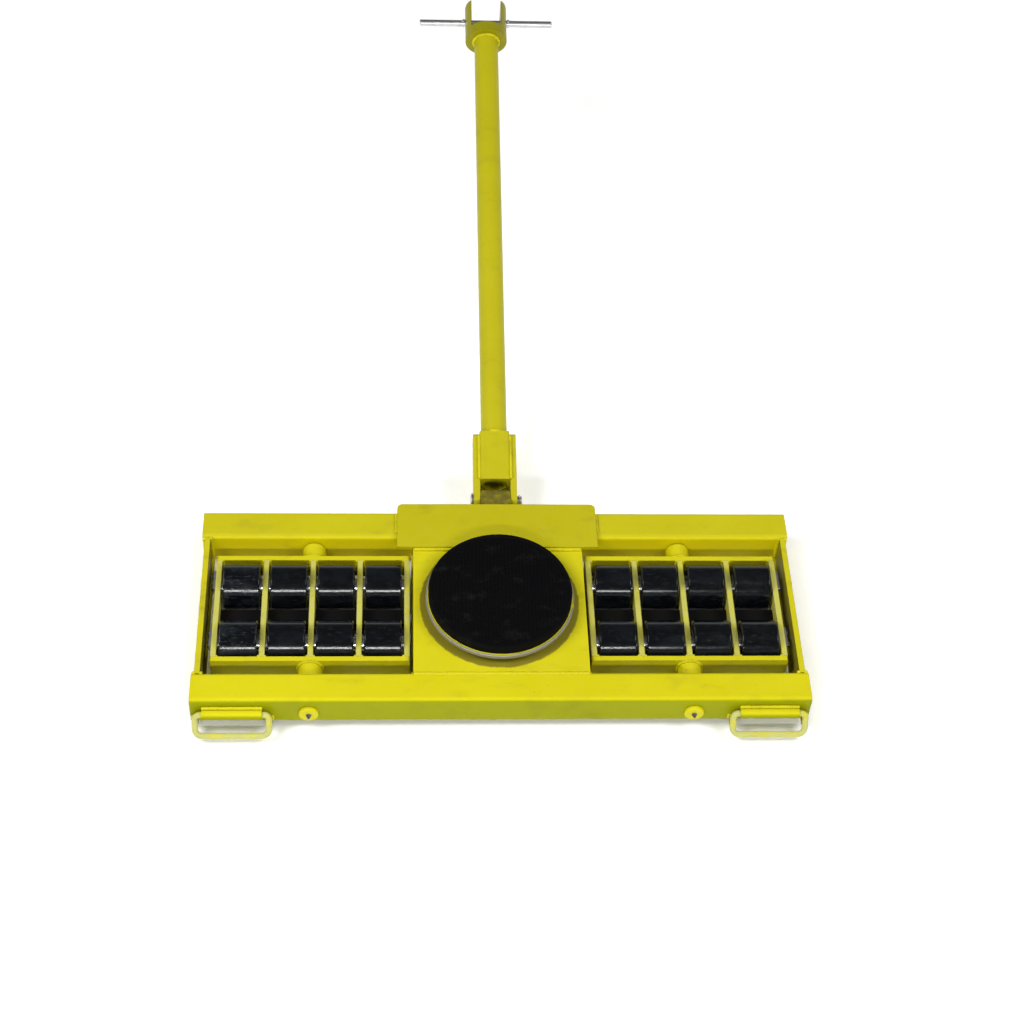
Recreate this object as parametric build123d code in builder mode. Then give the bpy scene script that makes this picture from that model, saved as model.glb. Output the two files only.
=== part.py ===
from build123d import *
from math import cos, radians, sin
import os

# Steerable machinery skate: a welded frame on two four-column roller bogies, with a
# rubber-topped turntable in the middle and a drawbar hinged to its rear rail.
# Millimetres. +X is the frame's right-hand end, +Y points to the drawbar, +Z is up.
# The origin is on the floor, under the turntable's axis.

# ---- driving dimensions -------------------------------------------------------
frame_length = 1080.0
frame_depth = 424.0
frame_top = 80.0
ground_clearance = 16.0

rail_width = 60.0
rail_wall = 10.0
rail_corner = 8.0
rail_bore_corner = 3.0
end_cap_thickness = 6.0
end_cap_recess = 3.0
end_plate_overhang = 5.0
end_plate_thickness = 10.0
end_plate_step = 2.0
end_plate_lip_width = 5.0
end_plate_lip_thickness = 6.0

deck_length = 310.0
deck_thickness = 15.0
web_thickness = 12.0
bottom_plate_thickness = 12.0
bottom_plate_overhang = 3.0
bottom_access_radius = 45.0

tongue_length = 368.0
tongue_thickness = 8.0
tongue_front_y = 122.0
tongue_rear_y = 224.0
tongue_corner = 10.0

pad_radius = 128.5
pad_thickness = 18.0
pad_edge = 2.5
turntable_height = 118.0
plate_radius = 133.0
plate_thickness = 8.0
plate_edge = 1.0
race_inner_radius = 76.0
race_outer_radius = 120.0
race_thickness = 4.5
ball_circle_radius = 93.0
ball_count = 24
ball_radius = 3.7
groove_radius = 4.0
cage_half_width = 9.0
cage_thickness = 2.0
king_pin_radius = 20.0
king_thread_radius = 18.0
king_boss_radius = 35.0
king_boss_bottom = 38.0
king_pin_bottom = 20.0
king_nut_size = 55.0
king_nut_height = 13.0
king_nut_bottom = 24.0

bogie_center_x = 336.0
column_pitch = 85.0
column_count = 4
row_offset = 64.0
roller_radius = 42.5
roller_length = 66.0
roller_chamfer = 2.0
roller_bore_radius = 13.0
bogie_plate_thickness = 10.0
bogie_plate_bottom = 20.0
bogie_plate_top = 66.0
bogie_plate_corner = 4.0
spine_width = 32.0
spine_bottom = 22.0
spine_top = 38.0
bogie_inner_y = 108.0
bogie_outer_y = 118.0
bogie_boss_y = 148.0
bogie_boss_radius = 21.0
pivot_height = 44.0
pivot_pin_radius = 12.0
pivot_head_radius = 17.0
pivot_head_thickness = 6.0
pin_head_chamfer = 1.5
pivot_pin_setback = 1.0
pivot_bush_radius = 15.0
axle_radius = 10.0
axle_overhang = 7.0
keeper_thickness = 4.0
keeper_length = 40.0
keeper_height = 16.0
keeper_slot_depth = 4.0
keeper_screw_head_radius = 5.0
keeper_screw_head_height = 3.0
keeper_screw_pitch = 24.0
bearing_width = 14.0
bearing_radius = 23.45
bearing_seat_radius = 23.5
bearing_hub_radius = 14.0
bearing_shield_radius = 19.5
bearing_shield_depth = 1.0

drawbar_angle = 14.5
drawbar_length = 1125.0
hinge_y = 256.0
hinge_z = 58.0
hinge_pin_radius = 11.0
hinge_head_radius = 16.0
hinge_head_thickness = 6.0
hinge_block_width = 56.0
hinge_block_radius = 22.0
hinge_side_gap = 0.5
stop_gap = 0.5
toe_thickness = 11.5
toe_neck = 14.0
toe_end = 48.0
cheek_thickness = 12.0
cheek_half_height = 21.0
cheek_end = 136.0
cheek_chamfer = 8.0
socket_start = 34.0
socket_seat = 56.0
socket_half_height = 28.0
socket_corner = 6.0
tube_radius = 25.0
tube_wall = 2.0
fork_radius = 43.5
fork_gap = 62.0
fork_base_start = -48.0
fork_base_end = -28.0
fork_tube_seat = -40.0
fork_tip = 38.0
fork_tip_corner = 20.0
fork_bore_radius = 23.0
t_bar_radius = 7.0
t_bar_length = 280.0
t_bar_chamfer = 1.5
roll_pin_radius = 2.5
roll_pin_length = 22.0
roll_pin_x = 47.0
split_pin_radius = 2.0
split_pin_length = 34.0
split_pin_margin = 5.0

handle_center_x = 467.5
handle_half_span = 63.5
handle_reach = 40.0
handle_droop = 60.0
handle_rod_radius = 5.5
handle_outer_bend = 12.0
handle_pintle_bend = 8.0
handle_pintle_end = 30.0
handle_pivot_y = -222.0
handle_pivot_z = 52.0
sleeve_radius = 8.5
sleeve_bore_radius = 5.85
sleeve_half_length = 52.0
sleeve_foot_height = 10.0
stop_lug_width = 10.0
stop_lug_gap = 0.4
stop_lug_start = 14.0
stop_lug_end = 26.0

running_fit = 0.05

# ---- derived sizes ------------------------------------------------------------
rail_height = frame_top - ground_clearance
rail_mid_z = ground_clearance + rail_height / 2
rail_mid_y = (frame_depth - rail_width) / 2
rail_inner_y = frame_depth / 2 - rail_width
rail_face_y = frame_depth / 2
bore_width = rail_width - 2 * rail_wall
bore_height = rail_height - 2 * rail_wall
end_plate_x = frame_length / 2 - end_plate_overhang - end_plate_thickness

pad_bottom = turntable_height - pad_thickness
plate_bottom = pad_bottom - plate_thickness
ball_z = (frame_top + plate_bottom) / 2

bogie_half_length = column_pitch * column_count / 2 + bogie_plate_thickness / 2
bogie_plate_height = bogie_plate_top - bogie_plate_bottom
bogie_plate_mid_z = (bogie_plate_top + bogie_plate_bottom) / 2
spine_mid_z = (spine_top + spine_bottom) / 2
roller_z = roller_radius
hub_length = column_pitch / 2 - bogie_plate_thickness / 2 - roller_length / 2

cheek_inner_x = hinge_block_width / 2 + hinge_side_gap
cheek_outer_x = cheek_inner_x + cheek_thickness
toe_top = -socket_half_height - stop_gap
toe_bottom = toe_top - toe_thickness
bar_cos = cos(radians(drawbar_angle))
bar_sin = sin(radians(drawbar_angle))

# Plane across the drawbar, with local z along the bar from the hinge pin.
bar_plane = Plane(origin=(0, hinge_y, hinge_z), x_dir=(1, 0, 0), z_dir=(0, bar_cos, bar_sin))


def bar_side_plane(x):
    """Plane along the drawbar: local x runs from the hinge pin to the T-bar, local y is up."""
    return Plane(origin=(x, hinge_y, hinge_z), x_dir=(0, bar_cos, bar_sin), z_dir=(1, 0, 0))


os.makedirs("parts", exist_ok=True)


def save(builder, name):
    """Label a finished sub-part and write its STEP file."""
    builder.part.label = name
    export_step(builder.part, f"parts/{name}.step")


# ---- frame --------------------------------------------------------------------
for rail_name, side in (("front_rail", -1), ("rear_rail", 1)):
    with BuildPart() as rail:
        with BuildSketch(Plane.YZ.offset(-frame_length / 2)):
            with Locations((side * rail_mid_y, rail_mid_z)):
                RectangleRounded(rail_width, rail_height, rail_corner)
                RectangleRounded(bore_width, bore_height, rail_bore_corner, mode=Mode.SUBTRACT)
        extrude(amount=frame_length)
        with BuildSketch(Plane.XZ):
            with Locations((-bogie_center_x, pivot_height), (bogie_center_x, pivot_height)):
                Circle(pivot_pin_radius + running_fit)
        extrude(amount=frame_depth, both=True, mode=Mode.SUBTRACT)
    save(rail, rail_name)

# The caps sit a little inside the rail ends, which leaves a groove for their weld.
with BuildPart() as rail_end_caps:
    cap_face_x = frame_length / 2 - end_cap_recess
    for cap_x in (-cap_face_x, cap_face_x - end_cap_thickness):
        with BuildSketch(Plane.YZ.offset(cap_x)):
            with Locations((-rail_mid_y, rail_mid_z), (rail_mid_y, rail_mid_z)):
                RectangleRounded(bore_width, bore_height, rail_bore_corner)
        extrude(amount=end_cap_thickness)
save(rail_end_caps, "rail_end_caps")

# Each end plate has a lip along its bottom edge, turned in under the bogie's end.
with BuildPart() as end_plates:
    for side in (-1, 1):
        with BuildSketch(Plane.YZ.offset(side * end_plate_x)):
            with Locations((0, rail_mid_z - end_plate_step / 2)):
                Rectangle(2 * rail_inner_y, rail_height - end_plate_step)
        extrude(amount=side * end_plate_thickness)
        with BuildSketch(Plane.YZ.offset(side * end_plate_x)):
            with Locations((0, ground_clearance + end_plate_lip_thickness / 2)):
                Rectangle(2 * rail_inner_y, end_plate_lip_thickness)
        extrude(amount=-side * end_plate_lip_width)
save(end_plates, "end_plates")

with BuildPart() as center_deck:
    with BuildSketch(Plane.XY.offset(frame_top - deck_thickness)):
        Rectangle(deck_length, 2 * rail_inner_y)
        Circle(king_boss_radius, mode=Mode.SUBTRACT)
    extrude(amount=deck_thickness)
save(center_deck, "center_deck")

with BuildPart() as center_webs:
    web_x = (deck_length - web_thickness) / 2
    with BuildSketch(Plane.XY.offset(ground_clearance + bottom_plate_thickness)):
        with Locations((-web_x, 0), (web_x, 0)):
            Rectangle(web_thickness, 2 * rail_inner_y)
    extrude(amount=rail_height - bottom_plate_thickness - deck_thickness)
save(center_webs, "center_webs")

with BuildPart() as center_bottom_plate:
    with BuildSketch(Plane.XY.offset(ground_clearance)):
        Rectangle(deck_length + 2 * bottom_plate_overhang, 2 * rail_inner_y)
        Circle(bottom_access_radius, mode=Mode.SUBTRACT)
    extrude(amount=bottom_plate_thickness)
save(center_bottom_plate, "center_bottom_plate")

with BuildPart() as king_boss:
    with BuildSketch(Plane.XY.offset(king_boss_bottom)):
        Circle(king_boss_radius)
        Circle(king_pin_radius + running_fit, mode=Mode.SUBTRACT)
    extrude(amount=frame_top - king_boss_bottom)
save(king_boss, "king_boss")

with BuildPart() as drawbar_tongue:
    with BuildSketch(Plane.XY.offset(frame_top)) as tongue_outline:
        with Locations((0, (tongue_front_y + tongue_rear_y) / 2)):
            Rectangle(tongue_length, tongue_rear_y - tongue_front_y)
        fillet(tongue_outline.vertices().group_by(Axis.Y)[-1], tongue_corner)
    extrude(amount=tongue_thickness)
save(drawbar_tongue, "drawbar_tongue")

# The hinge block has a toe under the drawbar's socket, on which the drawbar rests.
with BuildPart() as hinge_block:
    with BuildSketch(Plane.YZ.offset(-hinge_block_width / 2)):
        with Locations(((rail_face_y + hinge_y) / 2, hinge_z)):
            Rectangle(hinge_y - rail_face_y, 2 * hinge_block_radius)
        with Locations((hinge_y, hinge_z)):
            Circle(hinge_block_radius)
    extrude(amount=hinge_block_width)
    with BuildSketch(bar_side_plane(-hinge_block_width / 2)):
        with BuildLine():
            Polyline(
                (-toe_neck, 0),
                (-toe_neck, toe_bottom),
                (toe_end, toe_bottom),
                (toe_end, toe_top),
                (toe_neck, toe_top),
                (toe_neck, 0),
                close=True,
            )
        make_face()
    extrude(amount=hinge_block_width)
    with BuildSketch(bar_side_plane(-hinge_block_width / 2)):
        Circle(hinge_pin_radius + running_fit)
    extrude(amount=hinge_block_width, mode=Mode.SUBTRACT)
save(hinge_block, "hinge_block")

with BuildPart() as pivot_pins:
    pin_reach = rail_face_y - bogie_inner_y - pivot_pin_setback
    for side in (-1, 1):
        for pin_x in (-bogie_center_x, bogie_center_x):
            pin_plane = Plane(origin=(pin_x, side * rail_face_y, pivot_height), z_dir=(0, side, 0))
            with BuildSketch(pin_plane):
                Circle(pivot_head_radius)
            extrude(amount=pivot_head_thickness)
            with BuildSketch(pin_plane):
                Circle(pivot_pin_radius)
            extrude(amount=-pin_reach)
    outer_edges = pivot_pins.edges().filter_by(GeomType.CIRCLE).group_by(Axis.Y)
    chamfer(outer_edges[0] + outer_edges[-1], pin_head_chamfer)
save(pivot_pins, "pivot_pins")

# Each lifting handle turns in a sleeve on the front rail and rests on two stop lugs.
droop_cos = cos(radians(handle_droop))
droop_sin = sin(radians(handle_droop))
lug_offset = handle_rod_radius + stop_lug_gap
lug_upper_y = handle_pivot_y - stop_lug_start * droop_cos + lug_offset * droop_sin
lug_upper_z = handle_pivot_z - stop_lug_start * droop_sin - lug_offset * droop_cos
lug_lower_y = handle_pivot_y - stop_lug_end * droop_cos + lug_offset * droop_sin
lug_lower_z = handle_pivot_z - stop_lug_end * droop_sin - lug_offset * droop_cos

with BuildPart() as handle_brackets:
    for side in (-1, 1):
        bracket_x = side * handle_center_x
        with BuildSketch(Plane.YZ.offset(bracket_x - sleeve_half_length)):
            with Locations((handle_pivot_y, handle_pivot_z)):
                Circle(sleeve_radius)
            with Locations(((handle_pivot_y - rail_face_y) / 2, handle_pivot_z)):
                Rectangle(-rail_face_y - handle_pivot_y, sleeve_foot_height)
            with Locations((handle_pivot_y, handle_pivot_z)):
                Circle(sleeve_bore_radius, mode=Mode.SUBTRACT)
        extrude(amount=2 * sleeve_half_length)
        for leg in (-1, 1):
            lug_x = bracket_x + leg * handle_half_span - stop_lug_width / 2
            with BuildSketch(Plane.YZ.offset(lug_x)):
                with BuildLine():
                    Polyline(
                        (-rail_face_y, lug_upper_z),
                        (lug_upper_y, lug_upper_z),
                        (lug_lower_y, lug_lower_z),
                        (-rail_face_y, lug_lower_z),
                        close=True,
                    )
                make_face()
            extrude(amount=stop_lug_width)
save(handle_brackets, "handle_brackets")

# ---- turntable and its thrust ball race ---------------------------------------
for race_name, race_bottom in (
    ("lower_race", frame_top),
    ("upper_race", plate_bottom - race_thickness),
):
    with BuildPart() as race:
        with BuildSketch(Plane.XZ):
            race_width = race_outer_radius - race_inner_radius
            with Locations((race_inner_radius + race_width / 2, race_bottom + race_thickness / 2)):
                Rectangle(race_width, race_thickness)
            with Locations((ball_circle_radius, ball_z)):
                Circle(groove_radius, mode=Mode.SUBTRACT)
        revolve(axis=Axis.Z)
    save(race, race_name)

with BuildPart() as ball_cage:
    with BuildSketch(Plane.XY.offset(ball_z - cage_thickness / 2)):
        Circle(ball_circle_radius + cage_half_width)
        Circle(ball_circle_radius - cage_half_width, mode=Mode.SUBTRACT)
        with PolarLocations(ball_circle_radius, ball_count):
            Circle(groove_radius, mode=Mode.SUBTRACT)
    extrude(amount=cage_thickness)
save(ball_cage, "ball_cage")

with BuildPart(Plane.XY.offset(ball_z)) as thrust_balls:
    with PolarLocations(ball_circle_radius, ball_count):
        Sphere(ball_radius)
save(thrust_balls, "thrust_balls")

with BuildPart() as turntable_plate:
    with BuildSketch(Plane.XY.offset(plate_bottom)):
        Circle(plate_radius)
    extrude(amount=plate_thickness)
    chamfer(turntable_plate.edges().group_by(Axis.Z)[-1], plate_edge)
    with BuildSketch(Plane.XY.offset(plate_bottom)):
        Circle(king_pin_radius)
    extrude(amount=plate_thickness, mode=Mode.SUBTRACT)
save(turntable_plate, "turntable_plate")

with BuildPart() as rubber_pad:
    with BuildSketch(Plane.XY.offset(pad_bottom)):
        Circle(pad_radius)
    extrude(amount=pad_thickness)
    fillet(rubber_pad.edges().group_by(Axis.Z)[-1], pad_edge)
save(rubber_pad, "rubber_pad")

with BuildPart() as king_pin:
    with BuildSketch(Plane.XY.offset(king_boss_bottom)):
        Circle(king_pin_radius)
    extrude(amount=pad_bottom - king_boss_bottom)
    with BuildSketch(Plane.XY.offset(king_pin_bottom)):
        Circle(king_thread_radius)
    extrude(amount=king_boss_bottom - king_pin_bottom)
    chamfer(king_pin.edges().group_by(Axis.Z)[0], plate_edge)
save(king_pin, "king_pin")

with BuildPart() as king_nut:
    with BuildSketch(Plane.XY.offset(king_nut_bottom)):
        RegularPolygon(king_nut_size / 2, 6, major_radius=False)
        Circle(king_thread_radius, mode=Mode.SUBTRACT)
    extrude(amount=king_nut_height)
save(king_nut, "king_nut")

# ---- roller bogies ------------------------------------------------------------
column_offsets = [column_pitch * (i - (column_count - 1) / 2) for i in range(column_count)]
plate_offsets = [column_pitch * (i - column_count / 2) for i in range(column_count + 1)]

for bogie_name, side in (("left", -1), ("right", 1)):
    center_x = side * bogie_center_x
    outer_face_x = center_x + side * bogie_half_length

    with BuildPart() as bogie_plates:
        for offset_x in plate_offsets:
            with BuildSketch(Plane.YZ.offset(center_x + offset_x - bogie_plate_thickness / 2)):
                with Locations((0, bogie_plate_mid_z)):
                    Rectangle(2 * bogie_inner_y, bogie_plate_height)
                with Locations((-row_offset, roller_z), (row_offset, roller_z)):
                    Circle(axle_radius, mode=Mode.SUBTRACT)
                with Locations((0, spine_mid_z)):
                    Rectangle(spine_width, spine_top - spine_bottom, mode=Mode.SUBTRACT)
            extrude(amount=bogie_plate_thickness)
    save(bogie_plates, f"{bogie_name}_bogie_plates")

    # A flat bar runs through all the plates, between the two rows of rollers.
    with BuildPart() as bogie_spine:
        with BuildSketch(Plane.YZ.offset(center_x - bogie_half_length)):
            with Locations((0, spine_mid_z)):
                Rectangle(spine_width, spine_top - spine_bottom)
        extrude(amount=2 * bogie_half_length)
    save(bogie_spine, f"{bogie_name}_bogie_spine")

    with BuildPart() as bogie_ends:
        for end in (-1, 1):
            end_plane = Plane(
                origin=(center_x, end * bogie_inner_y, 0), x_dir=(1, 0, 0), z_dir=(0, end, 0)
            )
            corner_z = bogie_plate_mid_z if end < 0 else -bogie_plate_mid_z
            boss_z = pivot_height if end < 0 else -pivot_height
            with BuildSketch(end_plane):
                with Locations((0, corner_z)):
                    RectangleRounded(2 * bogie_half_length, bogie_plate_height, bogie_plate_corner)
            extrude(amount=bogie_outer_y - bogie_inner_y)
            with BuildSketch(end_plane):
                with Locations((0, boss_z)):
                    Circle(bogie_boss_radius)
            extrude(amount=bogie_boss_y - bogie_inner_y)
            with BuildSketch(end_plane):
                with Locations((0, boss_z)):
                    Circle(pivot_bush_radius)
            extrude(amount=bogie_boss_y - bogie_inner_y, mode=Mode.SUBTRACT)
    save(bogie_ends, f"{bogie_name}_bogie_ends")

    with BuildPart() as pivot_bushes:
        for end in (-1, 1):
            bush_plane = Plane(origin=(center_x, end * bogie_inner_y, pivot_height), z_dir=(0, end, 0))
            with BuildSketch(bush_plane):
                Circle(pivot_bush_radius)
                Circle(pivot_pin_radius + running_fit, mode=Mode.SUBTRACT)
            extrude(amount=bogie_boss_y - bogie_inner_y)
    save(pivot_bushes, f"{bogie_name}_pivot_bushes")

    axle_length = 2 * bogie_half_length + axle_overhang
    axle_start = center_x - side * bogie_half_length
    with BuildPart() as axles:
        for row in (-1, 1):
            axle_plane = Plane(origin=(axle_start, row * row_offset, roller_z), z_dir=(side, 0, 0))
            with BuildSketch(axle_plane):
                Circle(axle_radius)
            extrude(amount=axle_length)
            with BuildSketch(Plane.YZ.offset(outer_face_x)):
                with Locations((row * row_offset, roller_z + axle_radius - keeper_slot_depth / 2)):
                    Rectangle(2 * axle_radius, keeper_slot_depth)
            extrude(amount=side * keeper_thickness, mode=Mode.SUBTRACT)
    save(axles, f"{bogie_name}_axles")

    keeper_z = roller_z + axle_radius - keeper_slot_depth + keeper_height / 2
    with BuildPart() as axle_keepers:
        for row in (-1, 1):
            with BuildSketch(Plane.YZ.offset(outer_face_x)):
                with Locations((row * row_offset, keeper_z)):
                    Rectangle(keeper_length, keeper_height)
            extrude(amount=side * keeper_thickness)
            with BuildSketch(Plane.YZ.offset(outer_face_x + side * keeper_thickness)):
                with Locations((row * row_offset, keeper_z)):
                    with GridLocations(keeper_screw_pitch, 0, 2, 1):
                        Circle(keeper_screw_head_radius)
            extrude(amount=side * keeper_screw_head_height)
    save(axle_keepers, f"{bogie_name}_axle_keepers")

    # Sealed ball bearings: the hub ring reaches past the roller's end and spaces it off the plate.
    with BuildPart() as bearings:
        for row in (-1, 1):
            for offset_x in column_offsets:
                for end in (-1, 1):
                    bearing_x = center_x + offset_x + end * (roller_length / 2 - bearing_width)
                    bearing_plane = Plane(
                        origin=(bearing_x, row * row_offset, roller_z), z_dir=(end, 0, 0)
                    )
                    with BuildSketch(bearing_plane):
                        Circle(bearing_radius)
                        Circle(axle_radius, mode=Mode.SUBTRACT)
                    extrude(amount=bearing_width)
                    with BuildSketch(bearing_plane.offset(bearing_width - bearing_shield_depth)):
                        Circle(bearing_shield_radius)
                        Circle(bearing_hub_radius, mode=Mode.SUBTRACT)
                    extrude(amount=bearing_shield_depth, mode=Mode.SUBTRACT)
                    with BuildSketch(bearing_plane.offset(bearing_width)):
                        Circle(bearing_hub_radius)
                        Circle(axle_radius, mode=Mode.SUBTRACT)
                    extrude(amount=hub_length)
    save(bearings, f"{bogie_name}_bearings")

    for row_name, row in (("front", -1), ("rear", 1)):
        for number, offset_x in enumerate(column_offsets, start=1):
            roller_plane = Plane(
                origin=(center_x + offset_x - roller_length / 2, row * row_offset, roller_z),
                z_dir=(1, 0, 0),
            )
            with BuildPart() as roller:
                with BuildSketch(roller_plane):
                    Circle(roller_radius)
                extrude(amount=roller_length)
                chamfer(roller.edges(), roller_chamfer)
                seat_depth = bearing_width + running_fit
                with BuildSketch(roller_plane):
                    Circle(roller_bore_radius)
                extrude(amount=roller_length, mode=Mode.SUBTRACT)
                for seat_start in (0, roller_length - seat_depth):
                    with BuildSketch(roller_plane.offset(seat_start)):
                        Circle(bearing_seat_radius)
                    extrude(amount=seat_depth, mode=Mode.SUBTRACT)
            save(roller, f"{bogie_name}_{row_name}_roller_{number}")

# ---- drawbar ------------------------------------------------------------------
with BuildPart() as clevis_cheeks:
    for cheek_x in (-cheek_outer_x, cheek_inner_x):
        with BuildSketch(bar_side_plane(cheek_x)) as cheek_outline:
            with Locations((cheek_end / 2, 0)):
                Rectangle(cheek_end, 2 * cheek_half_height)
            chamfer(cheek_outline.vertices().group_by(Axis.X)[-1], cheek_chamfer)
            Circle(cheek_half_height)
            Circle(hinge_pin_radius, mode=Mode.SUBTRACT)
        extrude(amount=cheek_thickness)
save(clevis_cheeks, "clevis_cheeks")

with BuildPart() as clevis_socket:
    with BuildSketch(bar_plane.offset(socket_start)):
        RectangleRounded(2 * cheek_inner_x, 2 * socket_half_height, socket_corner)
        Circle(tube_radius - tube_wall, mode=Mode.SUBTRACT)
    extrude(amount=cheek_end - socket_start)
    with BuildSketch(bar_plane.offset(socket_seat)):
        Circle(tube_radius)
    extrude(amount=cheek_end - socket_seat, mode=Mode.SUBTRACT)
save(clevis_socket, "clevis_socket")

with BuildPart() as drawbar_tube:
    with BuildSketch(bar_plane.offset(socket_seat)):
        Circle(tube_radius)
        Circle(tube_radius - tube_wall, mode=Mode.SUBTRACT)
    extrude(amount=drawbar_length + fork_tube_seat - socket_seat)
save(drawbar_tube, "drawbar_tube")

with BuildPart() as drawbar_fork:
    with BuildSketch(bar_plane.offset(drawbar_length + fork_base_start)):
        Circle(fork_radius)
        Circle(fork_bore_radius, mode=Mode.SUBTRACT)
    extrude(amount=fork_base_end - fork_base_start)
    with BuildSketch(bar_plane.offset(drawbar_length + fork_base_start)):
        Circle(tube_radius)
    extrude(amount=fork_tube_seat - fork_base_start, mode=Mode.SUBTRACT)
    with BuildSketch(bar_plane.offset(drawbar_length + fork_base_end)):
        Circle(fork_radius)
        Rectangle(fork_gap, 2 * fork_radius, mode=Mode.SUBTRACT)
    extrude(amount=fork_tip - fork_base_end)
    with BuildSketch(bar_side_plane(0)) as fork_outline:
        fork_length = fork_tip - fork_base_start
        with Locations((drawbar_length + fork_base_start + fork_length / 2, 0)):
            Rectangle(fork_length, 2 * fork_radius)
        fillet(fork_outline.vertices().group_by(Axis.X)[-1], fork_tip_corner)
    extrude(amount=fork_radius, both=True, mode=Mode.INTERSECT)
    with BuildSketch(bar_side_plane(0)):
        with Locations((drawbar_length, 0)):
            Circle(t_bar_radius + running_fit)
    extrude(amount=fork_radius, both=True, mode=Mode.SUBTRACT)
save(drawbar_fork, "drawbar_fork")

with BuildPart() as hinge_pin:
    with BuildSketch(bar_side_plane(-cheek_outer_x)):
        Circle(hinge_head_radius)
    extrude(amount=-hinge_head_thickness)
    with BuildSketch(bar_side_plane(-cheek_outer_x)):
        Circle(hinge_pin_radius)
    extrude(amount=2 * cheek_outer_x + 2 * split_pin_margin)
    pin_ends = hinge_pin.edges().filter_by(GeomType.CIRCLE).group_by(Axis.X)
    chamfer(pin_ends[0] + pin_ends[-1], pin_head_chamfer)
    split_pin_plane = Plane.XY.offset(hinge_z - split_pin_length / 2)
    with BuildSketch(split_pin_plane):
        with Locations((cheek_outer_x + split_pin_margin, hinge_y)):
            Circle(split_pin_radius)
    extrude(amount=split_pin_length, mode=Mode.SUBTRACT)
save(hinge_pin, "hinge_pin")

with BuildPart() as split_pin:
    with BuildSketch(split_pin_plane):
        with Locations((cheek_outer_x + split_pin_margin, hinge_y)):
            Circle(split_pin_radius)
    extrude(amount=split_pin_length)
save(split_pin, "split_pin")

# ---- T-bar --------------------------------------------------------------------
roll_pin_plane = Plane(
    origin=bar_side_plane(0).from_local_coords(Vector(drawbar_length, -roll_pin_length / 2)),
    x_dir=(1, 0, 0),
    z_dir=(0, -bar_sin, bar_cos),
)
with BuildPart() as t_bar:
    with BuildSketch(bar_side_plane(-t_bar_length / 2)):
        with Locations((drawbar_length, 0)):
            Circle(t_bar_radius)
    extrude(amount=t_bar_length)
    chamfer(t_bar.edges().filter_by(GeomType.CIRCLE), t_bar_chamfer)
    with BuildSketch(roll_pin_plane):
        with Locations((-roll_pin_x, 0), (roll_pin_x, 0)):
            Circle(roll_pin_radius)
    extrude(amount=roll_pin_length, mode=Mode.SUBTRACT)
save(t_bar, "t_bar")

with BuildPart() as t_bar_roll_pins:
    with BuildSketch(roll_pin_plane):
        with Locations((-roll_pin_x, 0), (roll_pin_x, 0)):
            Circle(roll_pin_radius)
    extrude(amount=roll_pin_length)
save(t_bar_roll_pins, "t_bar_roll_pins")

# ---- lifting handles ----------------------------------------------------------
for handle_name, side in (("left_handle", -1), ("right_handle", 1)):
    handle_plane = Plane(
        origin=(side * handle_center_x, handle_pivot_y, handle_pivot_z),
        x_dir=(1, 0, 0),
        z_dir=(0, -droop_sin, droop_cos),
    )
    with BuildPart() as handle:
        with BuildLine(handle_plane) as handle_path:
            FilletPolyline(
                (-handle_pintle_end, 0),
                (-handle_half_span, 0),
                (-handle_half_span, -handle_reach),
                (handle_half_span, -handle_reach),
                (handle_half_span, 0),
                (handle_pintle_end, 0),
                radius=[handle_pintle_bend, handle_outer_bend, handle_outer_bend, handle_pintle_bend],
            )
        with BuildSketch(Plane(origin=handle_path.line @ 0, z_dir=handle_path.line % 0)):
            Circle(handle_rod_radius)
        sweep()
    save(handle, handle_name)
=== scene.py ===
import math

import bmesh
import bpy
from mathutils import Matrix, Vector


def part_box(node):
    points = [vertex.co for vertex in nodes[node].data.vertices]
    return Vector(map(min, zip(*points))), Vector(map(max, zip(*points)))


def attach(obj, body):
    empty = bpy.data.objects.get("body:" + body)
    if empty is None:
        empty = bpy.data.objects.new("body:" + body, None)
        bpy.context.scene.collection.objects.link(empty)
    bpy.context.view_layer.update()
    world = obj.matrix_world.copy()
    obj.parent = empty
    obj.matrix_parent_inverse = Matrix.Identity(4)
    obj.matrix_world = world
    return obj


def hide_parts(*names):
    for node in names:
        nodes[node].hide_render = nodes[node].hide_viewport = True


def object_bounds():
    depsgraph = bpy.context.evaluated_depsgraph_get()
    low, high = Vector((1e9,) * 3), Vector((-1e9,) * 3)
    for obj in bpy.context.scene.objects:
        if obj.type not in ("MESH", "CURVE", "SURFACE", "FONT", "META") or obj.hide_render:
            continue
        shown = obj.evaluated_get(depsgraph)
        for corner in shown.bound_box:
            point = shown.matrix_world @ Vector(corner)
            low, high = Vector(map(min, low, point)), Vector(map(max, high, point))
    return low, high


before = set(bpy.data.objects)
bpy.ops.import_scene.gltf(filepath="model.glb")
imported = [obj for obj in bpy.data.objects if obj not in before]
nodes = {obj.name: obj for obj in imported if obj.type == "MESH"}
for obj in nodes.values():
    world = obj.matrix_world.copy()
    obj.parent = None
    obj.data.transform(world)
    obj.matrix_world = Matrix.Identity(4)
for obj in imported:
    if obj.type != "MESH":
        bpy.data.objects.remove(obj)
cad_low, cad_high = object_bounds()

MM = 0.001


# ---- node graphs ---------------------------------------------------------------
class Wire:
    """An output socket. Python's operators on it add Math nodes to its graph."""

    def __init__(self, graph, socket):
        self.graph = graph
        self.socket = socket

    def __add__(self, other):
        return self.graph.number("ADD", self, other)

    def __sub__(self, other):
        return self.graph.number("SUBTRACT", self, other)

    def __rsub__(self, other):
        return self.graph.number("SUBTRACT", other, self)

    def __mul__(self, other):
        return self.graph.number("MULTIPLY", self, other)

    __radd__ = __add__
    __rmul__ = __mul__


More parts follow.
